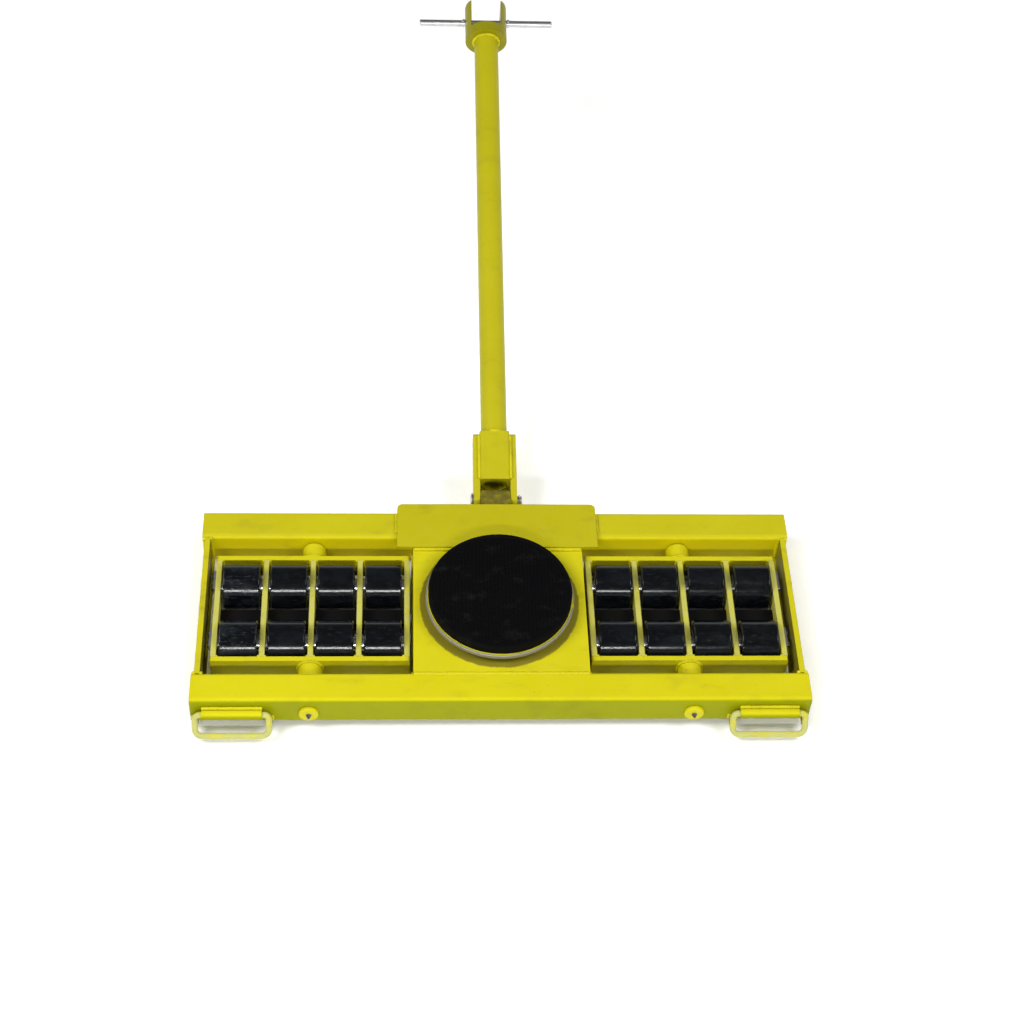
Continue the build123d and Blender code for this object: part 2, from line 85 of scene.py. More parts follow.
class Graph:
    """A node tree that is built in code."""

    def __init__(self, tree):
        self.tree = tree

    def node(self, kind, inputs=None, output=0, **settings):
        """Add a node: its settings first, then the values or wires of its sockets."""
        made = self.tree.nodes.new(kind)
        for setting, value in settings.items():
            setattr(made, setting, value)
        for key, value in (inputs or {}).items():
            self.feed(made.inputs[key], value)
        return Wire(self, made.outputs[output])

    def feed(self, socket, value):
        """Set a socket to a value, or link a wire to it."""
        if isinstance(value, Wire):
            self.tree.links.new(value.socket, socket)
        else:
            socket.default_value = value

    def number(self, operation, *values):
        """A Math node on one or two numbers."""
        return self.node("ShaderNodeMath", dict(enumerate(values)), operation=operation)

    def vector(self, operation, *values, output=0):
        """A Vector Math node on one or two vectors."""
        return self.node(
            "ShaderNodeVectorMath", dict(enumerate(values)), output, operation=operation
        )

    def axis(self, vector, letter):
        """One number of a vector."""
        return self.node("ShaderNodeSeparateXYZ", {0: vector}, output=letter)

    def flat_length(self, vector):
        """The length of a vector without its height."""
        level = self.vector("MULTIPLY", vector, (1.0, 1.0, 0.0))
        return self.vector("LENGTH", level, output="Value")

    def step(self, value, low, high):
        """0 below low and 1 above high, with a smooth rise between."""
        return self.node(
            "ShaderNodeMapRange",
            {"Value": value, "From Min": low, "From Max": high},
            interpolation_type="SMOOTHSTEP",
        )

    def mix(self, amount, under, over):
        """One colour laid over another by an amount."""
        return self.node("ShaderNodeMix", {0: amount, 6: under, 7: over}, 2, data_type="RGBA")


class Finish(Graph):
    """A surface finish whose patterns read the place of each point on the object."""

    def __init__(self, name, **constants):
        self.material = bpy.data.materials.new(name)
        self.material.use_nodes = True
        super().__init__(self.material.node_tree)
        self.shader = self.tree.nodes["Principled BSDF"]
        for socket, value in constants.items():
            self.feed(self.shader.inputs[socket.replace("_", " ")], value)
        self.place = self.node("ShaderNodeTexCoord", output="Object")

    def noise(self, scale, detail=3.0, roughness=0.55, turn=(0.0, 0.0, 0.0)):
        """Noise about 0.5. Scale is in features per metre along each axis, after a turn."""
        per_axis = scale if isinstance(scale, tuple) else (scale, scale, scale)
        turned = self.node("ShaderNodeMapping", {"Vector": self.place, "Rotation": turn})
        spread = self.vector("MULTIPLY", turned, per_axis)
        return self.node(
            "ShaderNodeTexNoise",
            {"Vector": spread, "Scale": 1.0, "Detail": detail, "Roughness": roughness},
        )

    def patches(self, scale, low, high, **kind):
        """Noise cut to patches: 0 where it is below low and 1 where it is above high."""
        return self.step(self.noise(scale, **kind), low, high)

    def larger(self, first, second):
        """The larger of two numbers."""
        return self.number("MAXIMUM", first, second)

    def rounded(self, radius):
        """The normal as if every edge had this radius."""
        return self.node("ShaderNodeBevel", {"Radius": radius}, samples=8)

    def edges(self, radius):
        """0 on open faces, up to about 0.3 on an edge."""
        face = self.node("ShaderNodeNewGeometry", output="True Normal")
        return 1 - self.vector("DOT_PRODUCT", self.rounded(radius), face, output="Value")

    def facing_up(self):
        """1 on level tops, 0 on upright faces and -1 underneath."""
        return self.axis(self.node("ShaderNodeNewGeometry", output="Normal"), "Z")

    def facing_out(self):
        """Above 0 on faces that look away from the turntable's axis, below 0 on others."""
        normal = self.node("ShaderNodeNewGeometry", output="Normal")
        return self.vector("DOT_PRODUCT", self.place, normal, output="Value")

    def distance_from_axis(self):
        """Distance from the turntable's axis, in metres."""
        return self.flat_length(self.place)

    def surface(self, color, roughness, relief, metallic=None, edge_radius=0.8 * MM):
        """Feed the shader; relief is in millimetres."""
        normal = self.node(
            "ShaderNodeBump",
            {"Height": relief, "Distance": MM, "Normal": self.rounded(edge_radius)},
        )
        for socket, value in (
            ("Base Color", color),
            ("Roughness", roughness),
            ("Normal", normal),
            ("Metallic", metallic),
        ):
            if value is not None:
                self.feed(self.shader.inputs[socket], value)
        return self.material


# ---- finishes ------------------------------------------------------------------
YELLOW = (0.590, 0.540, 0.003, 1)
YELLOW_DEEP = (0.505, 0.445, 0.002, 1)
# Painted shade for upright faces, which the lamps light less than tops.
YELLOW_PAINTED_SHADE = (0.270, 0.280, 0.0003, 1)
# Painted bounce light: a warm, lighter yellow for upright faces lit by nearby yellow surfaces.
YELLOW_PAINTED_BOUNCE = (0.740, 0.630, 0.003, 1)
YELLOW_RUBBED = (0.640, 0.600, 0.120, 1)
YELLOW_CHALKY = (0.400, 0.420, 0.190, 1)
# Olive for grime, and for painted shade on inner faces and under the turntable's rim.
OLIVE_GRIME_AND_SHADE = (0.095, 0.075, 0.012, 1)
STEEL_DARK = (0.070, 0.062, 0.055, 1)
STEEL_RUST = (0.150, 0.062, 0.022, 1)
STEEL_BRIGHT = (0.620, 0.625, 0.635, 1)
STEEL_TARNISH = (0.330, 0.320, 0.300, 1)
STEEL_WORN = (0.210, 0.215, 0.170, 1)
STEEL_OILED = (0.060, 0.055, 0.048, 1)
# Near black for a painted shadow between the roller rows.
STEEL_BLACK_PAINTED_SHADOW = (0.006, 0.006, 0.006, 1)
BRONZE = (0.480, 0.300, 0.110, 1)
BRONZE_BROWN = (0.180, 0.100, 0.035, 1)
GREASE = (0.010, 0.008, 0.006, 1)
NYLON_BLACK = (0.0012, 0.0018, 0.0026, 1)
NYLON_SCUFF = (0.034, 0.042, 0.052, 1)
RUBBER_BLACK = (0.0010, 0.0010, 0.0014, 1)
RUBBER_DUST = (0.026, 0.025, 0.024, 1)


def toned(color, painted_shade_factor):
    """A colour made lighter or darker by a factor."""
    return (color[0] * painted_shade_factor, color[1] * painted_shade_factor, color[2] * painted_shade_factor, 1)


def grey(level):
    """A grey from 0, black, to 1, white."""
    return (level, level, level, 1)


def machine_enamel(
    name,
    chipping=0.5,
    grime=0.3,
    film=0.0,
    film_color=OLIVE_GRIME_AND_SHADE,
    painted_side_shading=0.0,
    painted_side_color=YELLOW_PAINTED_SHADE,
    painted_shade_factor=1.0,
    inside_painted_shade=0.0,
    bare=(STEEL_DARK, STEEL_RUST),
    gloss=0.14,
    rim_radius=None,
    rim_shadow_radius=None,
):
    """Sprayed yellow enamel: chips, scratches, grime, a little dust and what a piece adds.

    A film lies thinly over all of it. Painted side shading gives its upright faces the painted
    side colour: painted shade by default, painted bounce light where a warm colour is given.
    Inside painted shade darkens where it faces the turntable's axis, a rim is rubbed bare beyond
    its radius, and a painted shadow darkens the deck within the rim shadow radius. The painted
    shade factor darkens all of the yellow, to paint shade and the fall-off of light.
    """
    finish = Finish(name, Specular_IOR_Level=gloss)
    cloud = finish.noise(7)
    patch = finish.noise(95, detail=5, roughness=0.62)
    speck = finish.noise(230, detail=2, roughness=0.5)
    region = finish.patches(5, 0.42, 0.62, detail=2)

    chip_level = 1.24 - 0.28 * chipping
    edge_wear = finish.edges(2.4 * MM) * 2.2 + patch
    edge_chips = finish.step(edge_wear, chip_level, chip_level + 0.05)
    pit_level = 0.80 - 0.07 * chipping
    pits = finish.step(speck, pit_level, pit_level + 0.02) * region
    chips = finish.larger(edge_chips, pits)

    scratch_long = finish.noise((18, 950, 950), detail=2, roughness=0.5, turn=(0, 0, 0.35))
    scratch_cross = finish.noise((1100, 22, 1100), detail=2, roughness=0.5, turn=(0, 0, -0.5))
    scratches = finish.step(finish.larger(scratch_long, scratch_cross), 0.73, 0.78) * region
    smears = finish.patches((14, 26, 14), 0.50, 0.78, detail=5, roughness=0.65)
    dust = finish.step(finish.facing_up(), 0.4, 1.0) * finish.noise(42, detail=5, roughness=0.65)

    # The painted shade factor dims all the yellow: painted shade and painted fall-off of light
    # towards the back.
    color = finish.mix(cloud, toned(YELLOW, painted_shade_factor), toned(YELLOW_DEEP, painted_shade_factor))
    # Painted side shading: upright faces take the painted side colour, painted shade on most pieces
    # and painted bounce light on the rear rail.
    if painted_side_shading:
        upright = 1 - finish.step(finish.facing_up(), 0.35, 0.90)
        color = finish.mix(upright * painted_side_shading, color, painted_side_color)
    if film:
        cover = finish.patches(60, 0.20, 0.62, detail=4, roughness=0.6)
        color = finish.mix(cover * film, color, film_color)
    color = finish.mix(smears * grime, color, OLIVE_GRIME_AND_SHADE)
    color = finish.mix(dust * 0.10 + scratches * 0.45, color, YELLOW_RUBBED)
    # Painted shade on faces that look towards the turntable's axis.
    if inside_painted_shade:
        inward_shade = 1 - finish.step(finish.facing_out(), -0.3, -0.1)
        color = finish.mix(inward_shade * inside_painted_shade, color, OLIVE_GRIME_AND_SHADE)
    # A painted shadow in a ragged ring on the deck under the turntable's rim.
    if rim_shadow_radius:
        ragged = finish.distance_from_axis() - patch * (6 * MM)
        rim_shadow = 1 - finish.step(ragged, rim_shadow_radius, rim_shadow_radius + 4 * MM)
        color = finish.mix(rim_shadow * 0.8, color, OLIVE_GRIME_AND_SHADE)
    metal = finish.mix(patch, bare[0], bare[1])
    if rim_radius:
        ragged = finish.distance_from_axis() + patch * (1.6 * MM)
        rim = finish.step(ragged, rim_radius - 0.6 * MM, rim_radius + 0.9 * MM)
        rim = rim * finish.patches(55, 0.24, 0.42, detail=4)
        metal = finish.mix(rim, metal, STEEL_TARNISH)
        chips = finish.larger(chips, rim)
    color = finish.mix(chips, color, metal)

    roughness = 0.36 + dust * 0.22 + chips * 0.16 + smears * (0.25 * grime)
    peel = finish.noise(650, detail=2) * 0.020 + finish.noise(120, detail=2) * 0.035
    relief = peel - chips * 0.11 - scratches * 0.03
    return finish.surface(color, roughness, relief, metallic=chips * 0.75)


def drawn_steel(name):
    """Bright drawn bar: lines along its length, tarnish in patches and rust freckles."""
    finish = Finish(name, Specular_IOR_Level=0.5)
    lines = finish.noise((12, 1400, 1400))
    tarnish = finish.patches(38, 0.48, 0.72, detail=4, roughness=0.6)
    freckles = finish.patches(420, 0.70, 0.76, detail=2) * tarnish
    color = finish.mix(tarnish * 0.6, STEEL_BRIGHT, STEEL_TARNISH)
    color = finish.mix(freckles, color, STEEL_RUST)
    roughness = 0.24 + lines * 0.16 + tarnish * 0.14
    return finish.surface(color, roughness, lines * 0.012, metallic=1 - freckles * 0.8)


def oiled_steel(name, base=STEEL_OILED, rubbing=1.0, shine=0.3, bareness=0.55):
    """Dark oiled steel with rubbed edges and a film of grease."""
    finish = Finish(name, Specular_IOR_Level=shine)
    patch = finish.noise(110, detail=5, roughness=0.62)
    edge_wear = finish.edges(1.4 * MM) * 2.4 + patch
    rubbed = finish.step(edge_wear, 0.82, 0.98) * rubbing
    film = finish.patches(30, 0.45, 0.70, detail=4)
    color = finish.mix(rubbed, base, STEEL_TARNISH)
    color = finish.mix(film * 0.6, color, GREASE)
    roughness = 0.48 - film * 0.20 + patch * 0.12
    relief = finish.noise(500) * 0.03
    return finish.surface(color, roughness, relief, metallic=bareness + rubbed * 0.4)


def ground_steel(name):
    """Ground bearing steel under a thin smear of grease."""
    finish = Finish(name, Specular_IOR_Level=0.5)
    smear = finish.patches(85, 0.46, 0.70, detail=4, roughness=0.6)
    grain = finish.noise(900, detail=2)
    color = finish.mix(smear * 0.7, STEEL_BRIGHT, GREASE)
    roughness = 0.18 + grain * 0.10 + smear * 0.22
    return finish.surface(color, roughness, grain * 0.008, metallic=1 - smear * 0.5)


def bush_bronze(name):
    """Bearing bronze, browned in patches."""
    finish = Finish(name, Specular_IOR_Level=0.5)
    brown = finish.patches(120, 0.42, 0.66, detail=4)
    color = finish.mix(brown, BRONZE, BRONZE_BROWN)
    roughness = 0.30 + brown * 0.20
    relief = finish.noise(700, detail=2) * 0.012
    return finish.surface(color, roughness, relief, metallic=1 - brown * 0.3)


def roller_nylon(name, scuffing=0.4):
    """Turned black polyamide: a glossy tread with tool rings, scuffs and embedded grit."""
    finish = Finish(name, Specular_IOR_Level=0.40)
    rings = finish.noise((1000, 16, 16))
    scuffs = finish.patches((85, 240, 240), 0.50, 0.74, detail=5, roughness=0.65)
    film = finish.patches((24, 40, 40), 0.40, 0.72)
    grit = finish.patches(750, 0.71, 0.76, detail=2)
    worn = finish.larger(scuffs * (0.9 * scuffing), film * (0.35 * scuffing))
    color = finish.mix(worn, NYLON_BLACK, NYLON_SCUFF)
    color = finish.mix(grit * 0.5, color, NYLON_SCUFF)
    roughness = 0.11 + rings * 0.06 + worn * 0.30 + grit * 0.2
    relief = rings * 0.012 + scuffs * 0.02 - grit * 0.06
    return finish.surface(color, roughness, relief, edge_radius=1.2 * MM)


def pad_rubber(name):
    """Black moulded rubber: matt, finely grained, grey where it has been rubbed."""
    finish = Finish(name, Specular_IOR_Level=0.07)
    grain = finish.noise(1300)
    rubbed = finish.patches((26, 34, 26), 0.52, 0.80, detail=5, roughness=0.62)
    scrapes = finish.patches((20, 600, 600), 0.70, 0.76, detail=2, turn=(0, 0, 0.9))
    dull = finish.larger(rubbed * 0.35, scrapes * 0.5)
    color = finish.mix(dull, RUBBER_BLACK, RUBBER_DUST)
    roughness = 0.62 + grain * 0.16 + dull * 0.1
    return finish.surface(color, roughness, grain * 0.05 - scrapes * 0.08)


enamel = machine_enamel("machine_enamel", chipping=0.45, grime=0.22)
# The front rail and the handle brackets carry painted shade on their upright faces.
enamel_front = machine_enamel("front_rail_enamel", chipping=0.45, grime=0.20, painted_side_shading=1.0, gloss=0.05)
enamel_bogie = machine_enamel(
    "bogie_enamel",
    chipping=1.30,
    grime=0.35,
    film=0.55,
    film_color=YELLOW_CHALKY,
    bare=(STEEL_TARNISH, STEEL_WORN),
)
enamel_bogie_end = machine_enamel("bogie_end_enamel", chipping=0.90, grime=0.35)
# The deck carries a painted shadow under the turntable's rim.
enamel_deck = machine_enamel("deck_enamel", chipping=0.45, grime=0.22, rim_shadow_radius=138 * MM)
# The rear rail: tops dimmed by a painted shade factor, upright faces lightened by painted bounce
# light.
enamel_rear = machine_enamel(
    "rear_rail_enamel",
    chipping=0.45,
    grime=0.22,
    painted_side_shading=0.8,
    painted_side_color=YELLOW_PAINTED_BOUNCE,
    painted_shade_factor=0.86,
)
# The tongue is dimmed by a painted shade factor.
enamel_tongue = machine_enamel("tongue_enamel", chipping=0.50, grime=0.25, painted_shade_factor=0.78)
# The hinge block is dimmed by a painted shade factor and darkened further by an olive film.
enamel_hinge = machine_enamel("hinge_enamel", chipping=0.80, grime=0.60, film=1.0, painted_shade_factor=0.45)
# The end plates are dimmed by a painted shade factor and carry painted shade on their inner faces.
enamel_end = machine_enamel(
    "end_plate_enamel", chipping=0.70, grime=0.40, painted_shade_factor=0.9, inside_painted_shade=0.75
)
enamel_handle = machine_enamel(
    "handle_enamel", chipping=0.60, grime=0.15, film=0.80, film_color=YELLOW_CHALKY
)
# The drawbar and its fork are dimmed by a painted shade factor and carry painted shade on their
# upright faces.
enamel_drawbar = machine_enamel("drawbar_enamel", chipping=0.50, grime=0.18, painted_side_shading=0.25, painted_shade_factor=0.77)
enamel_fork = machine_enamel("fork_enamel", chipping=0.60, grime=0.30, painted_side_shading=0.3, painted_shade_factor=0.44)
enamel_weld = machine_enamel("weld_enamel", chipping=0.30, grime=0.50)
enamel_turntable = machine_enamel(
    "turntable_enamel", chipping=0.6, grime=0.4, rim_radius=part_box("turntable_plate")[1].x - 2 * MM
)
bright_steel = drawn_steel("drawn_steel")
dark_steel = oiled_steel("oiled_steel")
# The bogie spines are near black, with almost no shine or rubbed edges: a painted shadow between the
# roller rows.
spine_steel = oiled_steel("spine_steel", STEEL_BLACK_PAINTED_SHADOW, rubbing=0.05, shine=0.05, bareness=0.0)
bearing_steel = ground_steel("ground_steel")
bronze = bush_bronze("bush_bronze")
rubber = pad_rubber("pad_rubber")
nylon = roller_nylon("roller_nylon", scuffing=0.30)
nylon_dusty = roller_nylon("roller_nylon_dusty", scuffing=0.75)

slot_finish = {
    "yellow_paint": enamel,
    "bright_steel": bright_steel,
    "dark_steel": dark_steel,
    "bearing_steel": bearing_steel,
    "bronze": bronze,
    "black_rubber": rubber,
    "black_nylon": nylon,
}
own_finish = {
    "turntable_plate": enamel_turntable,
    "front_rail": enamel_front,
    "rear_rail": enamel_rear,
    "drawbar_tongue": enamel_tongue,
    "handle_brackets": enamel_front,
    "end_plates": enamel_end,
    "left_handle": enamel_handle,
    "right_handle": enamel_handle,
    "hinge_block": enamel_hinge,
    "clevis_cheeks": enamel_drawbar,
    "clevis_socket": enamel_drawbar,
    "drawbar_tube": enamel_drawbar,
    "drawbar_fork": enamel_fork,
    "left_bogie_spine": spine_steel,
    "right_bogie_spine": spine_steel,
    "left_bogie_plates": enamel_bogie,
    "right_bogie_plates": enamel_bogie,
    "left_bogie_ends": enamel_bogie_end,
    "right_bogie_ends": enamel_bogie_end,
    "center_deck": enamel_deck,
    "left_front_roller_1": nylon_dusty,
    "left_rear_roller_1": nylon_dusty,
}
for name, node in nodes.items():
    for place in node.material_slots:
        slot_name = place.material.name.split(".")[0]
        place.material = own_finish.get(name) or slot_finish[slot_name]


# ---- making pieces -------------------------------------------------------------
def new_piece(name, mesh, body, replaced=()):
    """A finished mesh as a piece of the object, riding on a body."""
    piece = bpy.data.objects.new(name, mesh)
    bpy.context.scene.collection.objects.link(piece)
    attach(piece, body)
    if replaced:
        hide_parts(*replaced)
    return piece


class Recipe(Graph):
    """A Geometry Nodes tree with named inputs, kept for the pieces that it makes."""

    def __init__(self, name, **sizes):
        super().__init__(bpy.data.node_groups.new(name, "GeometryNodeTree"))
        panel = self.tree.interface
        panel.new_socket("Geometry", in_out="INPUT", socket_type="NodeSocketGeometry")
        for size, value in sizes.items():
            kind = "NodeSocketInt" if isinstance(value, int) else "NodeSocketFloat"
            panel.new_socket(size, in_out="INPUT", socket_type=kind).default_value = value
        panel.new_socket("Finish", in_out="INPUT", socket_type="NodeSocketMaterial")
        panel.new_socket("Geometry", in_out="OUTPUT", socket_type="NodeSocketGeometry")
        self.given = self.tree.nodes.new("NodeGroupInput")

    def size(self, name):
        """The wire of a named input."""
        return Wire(self, self.given.outputs[name])

    def join(self, *parts):
        """Several geometries as one."""
        joined = self.tree.nodes.new("GeometryNodeJoinGeometry")
        for part in parts:
            self.tree.links.new(part.socket, joined.inputs[0])
        return Wire(self, joined.outputs[0])

    def close(self, geometry):
        """End the tree: real geometry with its finish on it."""
        real = self.node("GeometryNodeRealizeInstances", {0: geometry})
        painted = self.node(
            "GeometryNodeSetMaterial", {0: real, "Material": self.size("Finish")}
        )
        out = self.tree.nodes.new("NodeGroupOutput")
        self.tree.links.new(painted.socket, out.inputs[0])
        return self

    def make(self, mesh, finish, **sizes):
        """The plain mesh that the tree makes of a starting mesh."""
        source = bpy.data.objects.new("start", mesh)
        bpy.context.scene.collection.objects.link(source)
        modifier = source.modifiers.new("recipe", "NODES")
        modifier.node_group = self.tree
        for socket in self.tree.interface.items_tree:
            if socket.in_out == "INPUT" and socket.name in sizes:
                modifier[socket.identifier] = sizes[socket.name]
            if socket.in_out == "INPUT" and socket.name == "Finish":
                modifier[socket.identifier] = finish
        evaluated = source.evaluated_get(bpy.context.evaluated_depsgraph_get())
        made = bpy.data.meshes.new_from_object(evaluated)
        source.modifiers.remove(modifier)
        bpy.data.objects.remove(source)
        return made


# ---- weld beads ----------------------------------------------------------------
def weld_recipe():
    """Overlapping ripples along paths; every path point carries its bead's radius."""
    thinnest, thickest = 0.90, 1.10
    recipe = Recipe("weld_bead", Ripple_spacing=2.6 * MM, Ripple_length=0.85, Seed=7)
    paths = recipe.node("GeometryNodeMeshToCurve", {0: recipe.size("Geometry")})
    stops = recipe.node(
        "GeometryNodeResampleCurve",
        {"Curve": paths, "Length": recipe.size("Ripple_spacing")},
        mode="LENGTH",
    )
    radius = recipe.node(
        "GeometryNodeInputNamedAttribute", {"Name": "bead_radius"}, data_type="FLOAT"
    )
    uneven = recipe.node(
        "FunctionNodeRandomValue",
        {2: thinnest, 3: thickest, "Seed": recipe.size("Seed")},
        output=1,
        data_type="FLOAT",
    )
    across = radius * uneven
    scale = recipe.node(
        "ShaderNodeCombineXYZ",
        {0: across * recipe.size("Ripple_length"), 1: across, 2: across},
    )
    tangent = recipe.node("GeometryNodeInputTangent")
    turn = recipe.node(
        "FunctionNodeAlignRotationToVector", {"Vector": tangent}, axis="X"
    )
    ball = recipe.node("GeometryNodeMeshUVSphere", {"Segments": 10, "Rings": 6, "Radius": 1.0})
    ripple = recipe.node("GeometryNodeSetShadeSmooth", {0: ball})
    beads = recipe.node(
        "GeometryNodeInstanceOnPoints",
        {"Points": stops, "Instance": ripple, "Rotation": turn, "Scale": scale},
    )
    return recipe.close(beads)


def path_mesh(paths):
    """Edges along each path; a path is its points, its bead radius and whether it closes."""
    points, edges, radii = [], [], []
    for path, radius, closed in paths:
        first = len(points)
        points += [tuple(point) for point in path]
        radii += [radius] * len(path)
        edges += [(i, i + 1) for i in range(first, len(points) - 1)]
        if closed:
            edges.append((len(points) - 1, first))
    mesh = bpy.data.meshes.new("paths")
    mesh.from_pydata(points, edges, [])
    mesh.attributes.new("bead_radius", "FLOAT", "POINT").data.foreach_set("value", radii)
    return mesh


def straight(start, end, radius):
    """A bead between two points."""
    return ([Vector(start), Vector(end)], radius, False)


def upright(x, y, foot, head, radius):
    """A bead that climbs from one height to another."""
    return straight((x, y, foot), (x, y, head), radius)


def crosswise(start_x, end_x, y, z, radius):
    """A bead along the frame."""
    return straight((start_x, y, z), (end_x, y, z), radius)


def ring(centre, axis, ring_radius, radius, steps=40):
    """A closed bead round an axis."""
    axis = Vector(axis).normalized()
    side = axis.orthogonal().normalized()
    up = axis.cross(side)
    turns = [2 * math.pi * i / steps for i in range(steps)]
    points = [
        Vector(centre) + (side * math.cos(a) + up * math.sin(a)) * ring_radius for a in turns
    ]
    return (points, radius, True)


def middle(name):
    """The centre of a node's box."""
    low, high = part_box(name)
    return (low + high) / 2


front_low, front_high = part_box("front_rail")
rear_low, rear_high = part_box("rear_rail")
deck_low, deck_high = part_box("center_deck")
tongue_low, tongue_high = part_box("drawbar_tongue")
block_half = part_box("hinge_block")[1].x
cap_low, cap_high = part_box("rail_end_caps")
boss_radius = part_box("king_boss")[1].x
turntable_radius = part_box("turntable_plate")[1].x
rail_middle = (rear_low.y + rear_high.y) / 2

# A bead's middle stands this far off the faces that it joins.
SEAM = 1.2 * MM
SEAM_CLOSE = 0.8 * MM

# Radius of the rails' long edges.
RAIL_CORNER = 8 * MM

# Radii of the beads.
BEAD = 3.6 * MM
BEAD_DECK = 4.2 * MM
BEAD_UNDER_TONGUE = 4.0 * MM
BEAD_PLATE = 3.4 * MM
BEAD_SLEEVE = 3.2 * MM
BEAD_THIN = 2.8 * MM
BEAD_CAP = 2.5 * MM
BEAD_SMALL = 2.4 * MM


def deck_welds():
    """Deck and bottom plate, in the grooves beside the rails' rounded corners."""
    groove = 2.5 * MM
    reach = deck_high.x - 3 * MM
    front_y, rear_y = front_high.y - groove, rear_low.y + groove
    return [
        crosswise(-reach, reach, front_y, front_low.z + BEAD, BEAD),
        crosswise(-reach, reach, rear_y, front_low.z + BEAD, BEAD),
        crosswise(-reach, reach, front_y, deck_high.z - groove, BEAD_DECK),
    ]


def end_plate_welds(side):
    """Both faces of an end plate against both rails; the inner ones start above its lip."""
    thickness, foot, above_lip, below_corner = 10 * MM, 2 * MM, 8 * MM, 4 * MM
    outer_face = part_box("end_plates")[1].x
    outer = side * (outer_face + SEAM)
    inner = side * (outer_face - thickness - SEAM)
    return [
        upright(x, y, front_low.z + lift, front_high.z - below_corner, BEAD_PLATE)
        for x, lift in ((outer, foot), (inner, above_lip))
        for y in (front_high.y + SEAM, rear_low.y - SEAM)
    ]


def cap_welds(side):
    """Round the cap of each rail end, in its groove."""
    half_y, half_z, corner, proud = 19 * MM, 21 * MM, 4 * MM, 0.2 * MM
    x = side * (cap_high.x + proud)
    z = (cap_low.z + cap_high.z) / 2
    outline = [
        (half_y, half_z - corner),
        (half_y - corner, half_z),
        (corner - half_y, half_z),
        (-half_y, half_z - corner),
        (-half_y, corner - half_z),
        (corner - half_y, -half_z),
        (half_y - corner, -half_z),
        (half_y, corner - half_z),
    ]
    return [
        ([(x, y + a, z + b) for a, b in outline], BEAD_CAP, True)
        for y in (-rail_middle, rail_middle)
    ]


def web_welds(side):
    """The ends of the deck's web against both rails."""
    x = side * (deck_high.x + SEAM_CLOSE)
    foot, head = front_low.z + 4 * MM, deck_high.z - 6 * MM
    return [
        upright(x, y, foot, head, BEAD_THIN)
        for y in (front_high.y + SEAM_CLOSE, rear_low.y - SEAM_CLOSE)
    ]


def tongue_welds(side):
    """Half of the tongue: its side, its front edge and its overhang behind the rear rail."""
    lift, drop, tuck, run_out = 1.5 * MM, 2.5 * MM, 1.5 * MM, 2 * MM
    clearance, deck_stop, corner_stop = 5 * MM, 4 * MM, 14 * MM
    x = side * (tongue_high.x + SEAM)
    z = deck_high.z + lift
    flat_low = rear_low.y + RAIL_CORNER + run_out
    flat_high = rear_high.y - RAIL_CORNER - run_out
    front_y = tongue_low.y - SEAM
    clear_x = math.sqrt(max(turntable_radius**2 - front_y**2, 0)) + clearance
    deck_x = deck_high.x - deck_stop
    under_y, under_z = rear_high.y - tuck, deck_high.z - drop
    block_x, under_x = block_half + clearance, tongue_high.x - corner_stop
    return [
        straight((x, flat_low, z), (x, flat_high, z), BEAD),
        crosswise(side * clear_x, side * deck_x, front_y, z, BEAD),
        crosswise(side * block_x, side * under_x, under_y, under_z, BEAD_UNDER_TONGUE),
    ]


def hinge_welds(side):
    """One side of the hinge block, down the back of the rear rail."""
    foot, head = deck_high.z - 42 * MM, deck_high.z - 3 * MM
    return [upright(side * (block_half + SEAM), rear_high.y + SEAM, foot, head, BEAD)]


def handle_welds(handle):
    """A handle's sleeve and its two stop lugs, on the front rail."""
    bar_radius = 5.5 * MM
    sleeve_sink, sleeve_z, sleeve_half, sleeve_gap = 2.5 * MM, 52 * MM, 50 * MM, 8.8 * MM
    lug_sink, lug_half, lug_foot, lug_head = 1 * MM, 5.8 * MM, 28 * MM, 35.5 * MM
    low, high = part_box(handle)
    centre = (low.x + high.x) / 2
    leg = (high.x - low.x) / 2 - bar_radius
    start, end, sleeve_y = centre - sleeve_half, centre + sleeve_half, front_low.y - sleeve_sink
    sleeve = [
        crosswise(start, end, sleeve_y, z, BEAD_SLEEVE)
        for z in (sleeve_z - sleeve_gap, sleeve_z + sleeve_gap)
    ]
    lugs = [
        upright(x, front_low.y - lug_sink, lug_foot, lug_head, BEAD_SMALL)
        for lug_x in (centre - leg, centre + leg)
        for x in (lug_x - lug_half, lug_x + lug_half)
    ]
    return sleeve + lugs


def frame_welds():
    """The seams of the welded frame."""
    paths = deck_welds()
    for side in (-1, 1):
        paths += end_plate_welds(side) + cap_welds(side) + web_welds(side)
        paths += tongue_welds(side) + hinge_welds(side)
    paths.append(ring((0, 0, deck_low.z - SEAM), (0, 0, 1), boss_radius + SEAM, BEAD))
    for handle in ("left_handle", "right_handle"):
        paths += handle_welds(handle)
    return paths


